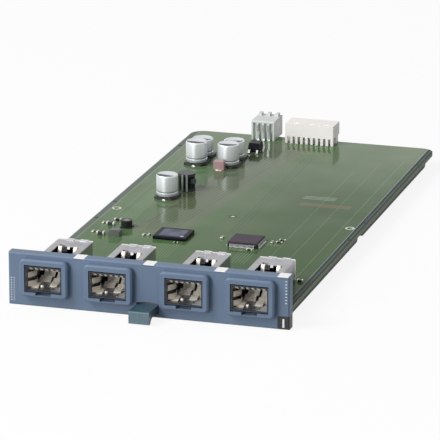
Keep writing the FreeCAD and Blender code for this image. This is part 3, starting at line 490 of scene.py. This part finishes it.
# %% [markdown]
# ## Capacitor cans
# A surface-mount electrolytic capacitor is a deep-drawn aluminium can: rolled in at the foot where
# it grips its rubber bung, with a groove above that, and a rounded shoulder at the top. It could be
# a cylinder with bevels, but its outline is a lathe profile, so one profile is spun round the axis.
# The minus side of the top carries a dark printed segment, cut out of the top face with a bisect.

# %% Helpers for modelling by hand
def alone(piece):
    """Selects that object and no other."""
    if bpy.context.mode != "OBJECT":
        bpy.ops.object.mode_set(mode="OBJECT")
    bpy.ops.object.select_all(action="DESELECT")
    piece.select_set(True)
    bpy.context.view_layer.objects.active = piece


def primitive(kind, name, **sizes):
    """Adds one of Blender's primitives, with nothing else selected."""
    bpy.ops.object.select_all(action="DESELECT")
    getattr(bpy.ops.mesh, "primitive_" + kind + "_add")(**sizes)
    piece = bpy.context.object
    piece.name = name
    piece.data.name = name
    return piece


def edit(piece, mode="FACE"):
    """Opens a piece for editing in that select mode, with nothing selected."""
    alone(piece)
    bpy.ops.object.mode_set(mode="EDIT")
    bpy.ops.mesh.select_mode(type=mode)
    bpy.ops.mesh.select_all(action="DESELECT")


def pick(piece, wanted, kind="polygons"):
    """Selects the faces or edges that pass a test, and leaves the piece open for editing."""
    edit(piece, "FACE" if kind == "polygons" else "EDGE")
    bpy.ops.object.mode_set(mode="OBJECT")
    parts = getattr(piece.data, kind)
    for part in parts:
        part.select = wanted(part)
    bpy.ops.object.mode_set(mode="EDIT")
    return sum(part.select for part in parts)


def close(piece):
    """Leaves edit mode."""
    bpy.ops.object.mode_set(mode="OBJECT")
    return piece


# %% Helpers for finishing a piece
def apply(piece, kind, **settings):
    """Adds a modifier with those settings and applies it."""
    alone(piece)
    modifier = piece.modifiers.new(kind.lower(), kind)
    for name, value in settings.items():
        setattr(modifier, name, value)
    bpy.ops.object.modifier_apply(modifier=modifier.name)
    return piece


def rest_in_place(piece):
    """Moves the object's place into its mesh, so the object sits at the origin."""
    alone(piece)
    bpy.ops.object.transform_apply(location=True, rotation=True, scale=True)
    return piece


def copy_to(piece, name, place):
    """A copy with its own mesh, moved by place."""
    twin = piece.copy()
    twin.data = piece.data.copy()
    twin.name = twin.data.name = name
    bpy.context.scene.collection.objects.link(twin)
    twin.data.transform(Matrix.Translation(place))
    return twin


def finished(piece, finish, body, slot, *replaced):
    """Gives a piece its finish, its body and the solids it stands for. The slot argument is not
    used.
    """
    if not piece.data.materials:
        piece.data.materials.append(finish.material)
    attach(piece, body)
    if replaced:
        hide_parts(*replaced)
    print(piece.name, len(piece.data.polygons), "faces")
    return piece


# %% Lines and ribbons
def chain(name, points):
    """One vertex extruded from point to point, left open for editing with all of it selected."""
    piece = primitive("plane", name, size=mm)
    edit(piece, "VERT")
    bpy.ops.mesh.select_all(action="SELECT")
    bpy.ops.mesh.merge(type="CENTER")
    bpy.ops.transform.translate(value=points[0])
    for start, stop in zip(points, points[1:]):
        move = {"value": [b - a for a, b in zip(start, stop)]}
        bpy.ops.mesh.extrude_region_move(TRANSFORM_OT_translate=move)
    bpy.ops.mesh.select_all(action="SELECT")
    return piece


def ribbon(name, points, sideways, thick, corner=None):
    """A bent strip of sheet: a line drawn out sideways and given a thickness."""
    piece = chain(name, points)
    bpy.ops.mesh.extrude_region_move(TRANSFORM_OT_translate={"value": sideways})
    close(piece)
    apply(piece, "SOLIDIFY", thickness=thick, offset=0.0)
    edit(piece)
    bpy.ops.mesh.select_all(action="SELECT")
    bpy.ops.mesh.normals_make_consistent(inside=False)
    close(piece)
    if corner:
        apply(piece, "BEVEL", width=corner, segments=2, limit_method="ANGLE",
              angle_limit=math.radians(50))
    return rest_in_place(piece)


# %% A lathe, smooth shading and joining
def turned(name, profile, steps, centre):
    """Spins a profile of radius and height pairs round an upright axis through centre."""
    x, y, z = centre
    piece = chain(name, [(x + r, y, z + h) for r, h in profile])
    bpy.ops.mesh.spin(steps=steps, angle=math.tau, center=centre, axis=(0, 0, 1),
                      use_auto_merge=True)
    bpy.ops.mesh.select_all(action="SELECT")
    bpy.ops.mesh.remove_doubles(threshold=0.001 * mm)
    bpy.ops.mesh.normals_make_consistent(inside=False)
    return rest_in_place(close(piece))


def smooth(piece, degrees=40):
    """Shades smooth, with an edge wherever two faces meet at more than that angle."""
    alone(piece)
    bpy.ops.object.shade_smooth_by_angle(angle=math.radians(degrees))
    return piece


def joined(pieces, name):
    """Several objects made one."""
    alone(pieces[0])
    for piece in pieces[1:]:
        piece.select_set(True)
    bpy.ops.object.join()
    pieces[0].name = pieces[0].data.name = name
    return pieces[0]


# %% Can: drawn aluminium, painted shade in its groove, and its printed mark
can_aluminium = metal("can_aluminium", "DDE1E3", "CDD1D4", 0.42, (1.0, 1.0, 0.02), 0.003)
can_z = can_aluminium.axes()[2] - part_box("capacitor_1_can")[0].z * 1000
# Painted shade: a darker ring in the groove above the foot.
groove_shade = can_z.between(1.75, 2.2)
can_skin = can_aluminium.mix(groove_shade, can_aluminium.skin(), paint("8C939B"))
can_aluminium.set(base_color=can_skin, metallic=0.6)
ink = moulded("polarity_ink", "2A2E38", "333844", 0.5, 0.2, 0.004)
foot_shape = [(0.8, 0), (0.25, 0.15), (0.05, 0.5), (0.05, 1.5), (0.4, 1.8), (0.4, 2.1), (0, 2.5)]
shoulder_shape = [(0, 0.75), (0.1, 0.35), (0.36, 0.1), (0.75, 0), (1.1, 0), (1.25, 0.08)]
dish = 0.08


def can_shell(node, mark):
    """The drawn can for one can solid, with its polarity mark on the side that mark points to."""
    low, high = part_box(node)
    centre, r = (low + high) / 2, (high.x - low.x) / 2
    profile = [(0, low.z)] + [(r - a * mm, low.z + b * mm) for a, b in foot_shape]
    profile += [(r - a * mm, high.z - b * mm) for a, b in shoulder_shape]
    profile += [(0, high.z - dish * mm)]
    shell = turned(node.replace("can", "shell"), profile, 48, (centre.x, centre.y, 0))
    shell.data.materials.append(can_aluminium.material)
    shell.data.materials.append(ink.material)
    way = Vector((math.cos(mark), math.sin(mark), 0))
    edge = Vector((centre.x, centre.y, high.z)) + way * r * 0.3

    def on_top(part):
        return part.normal.z > 0.9 and part.center.z > high.z - 0.2 * mm

    pick(shell, on_top)
    bpy.ops.mesh.bisect(plane_co=edge, plane_no=way)
    pick(shell, lambda part: on_top(part) and (part.center - edge).dot(way) > 0)
    shell.active_material_index = 1
    bpy.ops.object.material_slot_assign()
    smooth(close(shell))
    return finished(shell, can_aluminium, "root", "can_aluminium", node)


for number, mark in ((1, -1.8), (2, -1.6), (3, -1.5), (4, -1.5), (5, -1.4)):
    can_shell("capacitor_%d_can" % number, mark)

# %% [markdown]
# ## Inside the transceiver cages
# A cage has springs that a solid model leaves plain: fingers behind its mouth, bowed strips in the
# side wall that press on the module, a small catch that its latch hooks on, and two waved springs
# on the floor that push it out again. The springs are strips of sheet, so each is a line of a few
# points drawn out sideways and given a thickness, and the catch is a short profile spun round. One
# set is modelled in the first cage and copied to the others.

# %% Outlines of the springs, in millimetres
wave = [(11, 0.1), (12.3, 1.2), (13.6, 1.8), (14.8, 1.2), (16, 0.9), (17.3, 2.0), (18.6, 3.2),
        (19.8, 3.6), (21, 3.0), (22, 2.2)]
hang = [(0.5, -0.35), (1.1, -1.0), (2.2, -1.9), (3.4, -2.3), (4.4, -2.1)]
drop = [(-10.0, -0.15), (-10.6, -0.7), (-11.2, -1.8), (-11.3, -3.0)]
rise = [(0, 0.1), (1.2, 0.5), (2.6, 0.95), (4.0, 1.0), (5.2, 0.7)]
bow = [(1.5, 0.1), (3.2, 0.6), (5.0, 1.0), (6.8, 1.1), (8.6, 0.9), (10.2, 0.5), (11.6, 0.1)]
catch = [(0, 0.0), (0.75, 0.0), (0.7, 0.35), (0.45, 0.65), (0, 0.8)]
print("outlines with", [len(shape) for shape in (wave, hang, drop, rise, bow, catch)], "points")


# %% One set of springs
def cage_springs(number):
    """The set of springs for the cage with that number, as one piece."""
    low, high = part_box("transceiver_cage_%d" % number)
    floor_z, wall_x = low.z + 2.8 * mm, low.x + 0.45 * mm
    pieces = []
    for x, shift in ((low.x + 1.8 * mm, 0.0), (low.x + 7.8 * mm, -2.0)):
        points = [(x, low.y + (a + shift) * mm, floor_z + b * mm) for a, b in wave]
        pieces.append(ribbon("wave", points, (4.6 * mm, 0, 0), 0.25 * mm, 0.05 * mm))
    for place in range(6):
        x = low.x + (1.25 + 2.15 * place) * mm
        points = [(x, low.y + a * mm, high.z + b * mm) for a, b in hang]
        pieces.append(ribbon("finger", points, (1.1 * mm, 0, 0), 0.16 * mm, 0.03 * mm))
    for x in (low.x + 3.6 * mm, low.x + 9.9 * mm):
        points = [(x, high.y + a * mm, high.z + b * mm) for a, b in drop]
        pieces.append(ribbon("tooth", points, (1.5 * mm, 0, 0), 0.2 * mm, 0.04 * mm))
    for x, start in ((low.x + 7.6 * mm, 6.0), (low.x + 1.0 * mm, 3.2)):
        points = [(x, low.y + (start + a) * mm, floor_z + b * mm) for a, b in rise]
        pieces.append(ribbon("tongue", points, (3.0 * mm, 0, 0), 0.22 * mm, 0.05 * mm))
    for z, reach in ((1.0, 1.5), (4.6, 1.2)):
        points = [(wall_x + b * reach * mm, low.y + a * mm, floor_z + (z - a * 0.12) * mm)
                  for a, b in bow]
        pieces.append(ribbon("bow", points, (0, 0, 2.2 * mm), 0.22 * mm, 0.05 * mm))
    place = (low.x + 4.9 * mm, low.y + 5.4 * mm, floor_z)
    pieces.append(turned("catch", [(r * mm, h * mm) for r, h in catch], 16, place))
    return smooth(joined(pieces, "cage_springs_%d" % number))


# %% The set in the first cage, and its copies
spring_sheet = metal("spring_sheet", "FFFBEF", "F4EAD6", 0.34, (1.0, 0.1, 1.0))
spring_sheet.set(metallic=0.2)
first_springs = cage_springs(1)
finished(first_springs, spring_sheet, "root", "cage_metal")
for number in (2, 3, 4):
    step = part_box("transceiver_cage_%d" % number)[0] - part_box("transceiver_cage_1")[0]
    twin = copy_to(first_springs, "cage_springs_%d" % number, (step.x, 0, 0))
    finished(twin, spring_sheet, "root", "cage_metal")

# %% [markdown]
# ## Choke straps and component ends
# The choke's winding ends in two flat straps that run down its front. Each is one more bent strip.
# The small ceramic parts have tinned ends. The CAD model holds these parts as one node of plain
# blocks, so their places are read from a copy of its mesh, and each block gets two bevelled caps.

# %% Straps on the choke
choke_low, choke_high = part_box("choke_core")
choke_middle = (choke_low + choke_high) / 2
choke_r = (choke_high.x - choke_low.x) / 2
straps = []
heights = [choke_low.z + 0.15 * mm, choke_low.z + 2.0 * mm,
           choke_high.z - 2.0 * mm, choke_high.z - 0.1 * mm]
for angle in (-1.78, -1.28):
    out = Vector((math.cos(angle), math.sin(angle), 0))
    side = Vector((-out.y, out.x, 0)) * 0.8 * mm
    foot = choke_middle + out * (choke_r + 0.1 * mm) - side / 2
    points = [(foot.x, foot.y, z) for z in heights]
    straps.append(ribbon("strap", points, side, 0.14 * mm, 0.03 * mm))
finished(joined(straps, "choke_straps"), tinned, "root", "tin")


# %% Ends of the small parts
def blocks_in(node):
    """The lowest and highest corners of each separate solid in a CAD node."""
    copy = nodes[node].copy()
    copy.data = nodes[node].data.copy()
    bpy.context.scene.collection.objects.link(copy)
    edit(copy, "VERT")
    bpy.ops.mesh.select_all(action="SELECT")
    bpy.ops.mesh.remove_doubles(threshold=0.01 * mm)
    bpy.ops.mesh.separate(type="LOOSE")
    bpy.ops.object.mode_set(mode="OBJECT")
    found = []
    for part in list(bpy.context.selected_objects):
        spots = [v.co for v in part.data.vertices]
        found.append([Vector([extreme(spot[i] for spot in spots) for i in range(3)])
                      for extreme in (min, max)])
        bpy.data.objects.remove(part)
    return sorted(found, key=lambda pair: (pair[0].x, pair[0].y))


def end_cap(name, middle, size):
    """A block with its corners rounded."""
    piece = primitive("cube", name, size=1, location=middle, scale=size)
    rest_in_place(piece)
    return apply(piece, "BEVEL", width=min(size) * 0.18, segments=2)


dull_tin = metal("dull_tin", "DAD8CF", "BDBBB2", 0.45, (1.0, 1.0, 1.0), 0.006)
small_blocks = blocks_in("chip_components")
proud = 0.06 * mm
caps = []
for low, high in small_blocks:
    size = high - low
    axis = 0 if size.x > size.y else 1
    length = max(size[axis] * 0.2, 0.22 * mm)
    cap_size = [side + proud for side in size]
    cap_size[axis] = length + proud
    for end in (low[axis] + length / 2, high[axis] - length / 2):
        middle = (low + high) / 2
        middle[axis] = end
        middle.z += proud / 2
        caps.append(end_cap("cap", middle, cap_size))
finished(smooth(joined(caps, "component_ends")), dull_tin, "root", "tin")
print(len(small_blocks), "small parts,", len(caps), "end caps")

# %% [markdown]
# ## Fine leads and solder pads
# The control chip has many thin leads. One is a bent strip, and an Array makes the row. Each leg of
# a surface-mount part stands on its own tinned pad with a thin fillet of solder. The pads are too
# thin to be worth a solid, so one bevelled plate is modelled for every leg, from its box.

# %% Fine leads of the control chip
def lead_row(name, corner, out, side, count, pitch):
    """A row of bent leads: out points away from the chip, side along its edge."""
    bends = [(0.0, 1.35), (0.3, 1.35), (0.42, 0.2), (0.95, 0.08)]
    points = [corner + out * a * mm + Vector((0, 0, b * mm)) for a, b in bends]
    lead = ribbon(name, points, side * 0.27 * mm, 0.12 * mm)
    return apply(lead, "ARRAY", count=count, use_relative_offset=False, use_constant_offset=True,
                 constant_offset_displace=side * pitch)


body_low, body_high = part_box("control_chip")
body_size = body_high - body_low
lead_pitch = 0.5 * mm
bare_corner = 1.6 * mm
right, back = Vector((1, 0, 0)), Vector((0, 1, 0))
lead_rows = []
for out, side, length in ((-back, right, body_size.x), (back, right, body_size.x),
                          (-right, back, body_size.y), (right, back, body_size.y)):
    count = int((length - bare_corner) / lead_pitch)
    edge_x = body_high.x if out.x > 0 else body_low.x
    edge_y = body_high.y if out.y > 0 else body_low.y
    inset = side * (length - count * lead_pitch) / 2 - out * 0.1 * mm
    start = Vector((edge_x, edge_y, board_high.z)) + inset
    lead_rows.append(lead_row("lead_row", start, out, side, count, lead_pitch))
finished(joined(lead_rows, "fine_leads"), tinned, "root", "tin", "control_chip_leads")


# %% Pads
def pads_under(node, margin):
    """A thin plate on the board under each leg of a CAD node, larger than the leg by margin."""
    plates = []
    for low, high in blocks_in(node):
        middle, size = (low + high) / 2, high - low
        middle.z = board_high.z + 0.05 * mm
        plates.append(end_cap("pad", middle, (size.x + margin, size.y + margin, 0.1 * mm)))
    return finished(joined(plates, node + "_pads"), tinned, "root", "tin")


pads_under("block_capacitor_leads", 0.6 * mm)
pads_under("capacitor_leads", 0.5 * mm)

# %% [markdown]
# ## Marks on the panel
# The corner tag carries the number of the slot. A plain numeral is a text object, pulled out a
# little and made a mesh. The rows of short ticks at the panel's ends are scale marks, so one
# bevelled bar is modelled and the rest are made by an Array.

# %% Slot number
mark_paint = moulded("mark_paint", "EDEFF0", "DEE1E3", 0.5, 0.2, 0.004)
panel_low, panel_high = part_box("front_panel")
face_y = panel_low.y + 3.0 * mm
bpy.ops.object.select_all(action="DESELECT")
bpy.ops.object.text_add(location=(panel_high.x - 2.35 * mm, face_y - 0.02 * mm, 1.05 * mm),
                        rotation=(math.pi / 2, 0, 0))
numeral = bpy.context.object
numeral.name = "slot_number"
numeral.data.body = "1"
numeral.data.align_x = "CENTER"
numeral.data.size, numeral.data.extrude = 4.6 * mm, 0.04 * mm
numeral.data.offset = 0.16 * mm
bpy.ops.object.convert(target="MESH")
numeral = bpy.context.object
rest_in_place(numeral)
finished(numeral, mark_paint, "root", "tag_black")


# %% Ticks at the ends
def ticks(name, x, z, width, count, step):
    """A row of ticks one above another, the lowest at x and z, in millimetres."""
    bar = primitive("cube", name, size=1, location=(x * mm, face_y, z * mm),
                    scale=(width * mm, 0.06 * mm, 0.32 * mm))
    rest_in_place(bar)
    apply(bar, "BEVEL", width=0.02 * mm, segments=1)
    apply(bar, "ARRAY", count=count, use_relative_offset=False, use_constant_offset=True,
          constant_offset_displace=(0, 0, step * mm))
    return finished(bar, mark_paint, "root", "panel_paint")


ticks("ticks_left_outer", -55.45, 1.9, 0.5, 10, 1.0)
ticks("ticks_left_inner", -54.3, 1.9, 0.4, 10, 1.0)
ticks("ticks_right", 55.3, 10.6, 0.7, 8, 1.25)

# %% [markdown]
# ## The leaf spring
# The lever's arm lifts a leaf spring as the lever turns. A rigid solid can't bend, so the spring is
# modelled here as two pieces: the base with its legs, which stays on the board, and the thin
# finger. The finger is a bent strip, like the others.

# %% Leaf spring
def upright(piece, edge):
    """Whether an edge runs straight up."""
    first, second = [piece.data.vertices[i].co for i in edge.vertices]
    return (first - second).xy.length < 0.01 * mm


leaf_low, leaf_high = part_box("lever_spring")
leaf_t, plate_len = 0.3 * mm, 7.0 * mm
leg_inset, leg_wide, leg_tall = leaf_t * 0.6, 1.6 * mm, 2.3 * mm
plate_y, leg_z = leaf_high.y - plate_len / 2, leaf_high.z - 1.25 * mm
plate = primitive("cube", "leaf_base", size=1, location=(0, plate_y, leaf_high.z - leaf_t / 2),
                  scale=(leaf_high.x - leaf_low.x, plate_len, leaf_t))
rest_in_place(plate)
pick(plate, lambda edge: upright(plate, edge), "edges")
bpy.ops.mesh.bevel(offset=0.8 * mm, segments=3)
close(plate)
legs = [end_cap("leaf_leg", (x, plate_y, leg_z), (leaf_t, leg_wide, leg_tall))
        for x in (leaf_low.x + leg_inset, leaf_high.x - leg_inset)]
finished(joined([plate] + legs, "leaf_base"), spring_steel, "root", "spring_steel", "lever_spring")

# %% Finger of the leaf spring
bend_y, bend_z = leaf_high.y - plate_len, leaf_high.z - leaf_t / 2
touch_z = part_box("release_lever")[0].z + 4.9 * mm
finger_line = [(bend_y + 1.0 * mm, bend_z), (bend_y, bend_z),
               (leaf_low.y + 2.0 * mm, touch_z + 0.1 * mm), (leaf_low.y + 1.3 * mm, touch_z),
               (leaf_low.y + 0.8 * mm, touch_z + 0.1 * mm),
               (leaf_low.y + 0.15 * mm, touch_z + 0.75 * mm)]
finger_wide = 4.0 * mm
points = [(-finger_wide / 2, y, z) for y, z in finger_line]
finger = ribbon("leaf_finger", points, (finger_wide, 0, 0), leaf_t, 0.06 * mm)
finished(smooth(finger), spring_steel, "root", "spring_steel", "lever_spring")
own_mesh(finger)

# %% [markdown]
# ## Solder joints
# Where a pin comes through the board it ends in a small cone of solder on the underside. It is a
# short lathe profile, spun once and copied to every cage pin.

# %% Solder under the cage pins
joint_shape = [(0, 0.0), (1.05, 0.0), (0.8, -0.12), (0.55, -0.4), (0.42, -0.75), (0.3, -0.95),
               (0, -1.02)]
pin_in, pin_from_ends = 0.15 * mm, 3.0 * mm
joint_places = []
for number in (1, 2, 3, 4):
    low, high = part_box("transceiver_cage_%d" % number)
    for x in (low.x + pin_in, high.x - pin_in):
        for y in (board_low.y + pin_from_ends, high.y - pin_from_ends):
            joint_places.append(Vector((x, y, board_low.z)))
first_place = joint_places[0]
first_joint = turned("solder", [(r * mm, h * mm) for r, h in joint_shape], 14, first_place)
joints = [first_joint]
for place in joint_places[1:]:
    joints.append(copy_to(first_joint, "solder", place - first_place))
finished(smooth(joined(joints, "solder_joints"), 60), tinned, "root", "tin")

# %% [markdown]
# ## Stage, light and camera
# A plain white floor carries a faint shadow. Rays from the camera, off shiny metal and through
# glass see it almost white, and every other ray sees an ordinary matt floor, so the object isn't
# lit by a glowing ground. Two square lamps and a soft fill from the world light the card at a plain
# level.

# %% Floor
white_share = 0.88
floor = primitive("plane", "floor", size=12)
ground = Finish("floor_white", roughness=0.9)
plain_sight = ground.add("ShaderNodeLightPath", output="Is Camera Ray")
ground.set(base_color=ground.mix(plain_sight, paint("A0A0A0"), paint("F4F4F4")))
glow = ground.add("ShaderNodeEmission", None, {"Color": paint("FFFFFF"), "Strength": 1.0})
matt = Value(ground, ground.shader.outputs[0])
shown = ground.add("ShaderNodeMixShader", None,
                   {0: ground.seen_white() * white_share, 1: matt, 2: glow})
ground.join(ground.tree.nodes["Material Output"].inputs["Surface"], shown)
floor.data.materials.append(ground.material)
print("floor", white_share, "white where it is seen")


# %% Lamps
def soft_light(name, place, target, size, power):
    """A square area lamp that points at target."""
    data = bpy.data.lights.new(name, "AREA")
    data.shape, data.size, data.energy = "SQUARE", size, power
    lamp = bpy.data.objects.new(name, data)
    bpy.context.scene.collection.objects.link(lamp)
    lamp.location = place
    lamp.rotation_euler = (Vector(target) - Vector(place)).to_track_quat("-Z", "Y").to_euler()
    print(name, power, "watts")


soft_light("key_lamp", (-1.05, -0.95, 1.35), (0, 0, 0), 0.9, 25)
soft_light("front_lamp", (-0.75, -1.85, 0.5), (0, -0.1, 0), 0.8, 16)

# %% World: white where it is seen, a soft fill for everything else
fill = 0.4
world = bpy.data.worlds.new("studio")
bpy.context.scene.world = world
world.use_nodes = True
sky = Net(world.node_tree)
backdrop = sky.tree.nodes["Background"]
sky.join(backdrop.inputs["Color"], paint("FFFFFF"))
level = sky.add("ShaderNodeMix", None, {0: sky.seen_white(), 2: fill, 3: 1.0})
sky.join(backdrop.inputs["Strength"], level)
print("fill light", fill)

# %% Camera
aim = Vector((0.02908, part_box("front_panel")[0].y + 0.003, 0.04149))
turn, lift, reach = math.radians(16.847), math.radians(16.794), 1.4107
flat = math.cos(lift)
eye = aim + reach * Vector((math.sin(turn) * flat, -math.cos(turn) * flat, math.sin(lift)))
camera = bpy.data.objects.new("camera", bpy.data.cameras.new("camera"))
bpy.context.scene.collection.objects.link(camera)
camera.data.lens, camera.data.sensor_width = 304.5, 36.0
camera.location = eye
camera.rotation_euler = (aim - eye).to_track_quat("-Z", "Y").to_euler()
bpy.context.scene.camera = camera
bpy.context.scene.view_settings.view_transform = "Standard"
print("camera at", [round(v, 3) for v in eye])
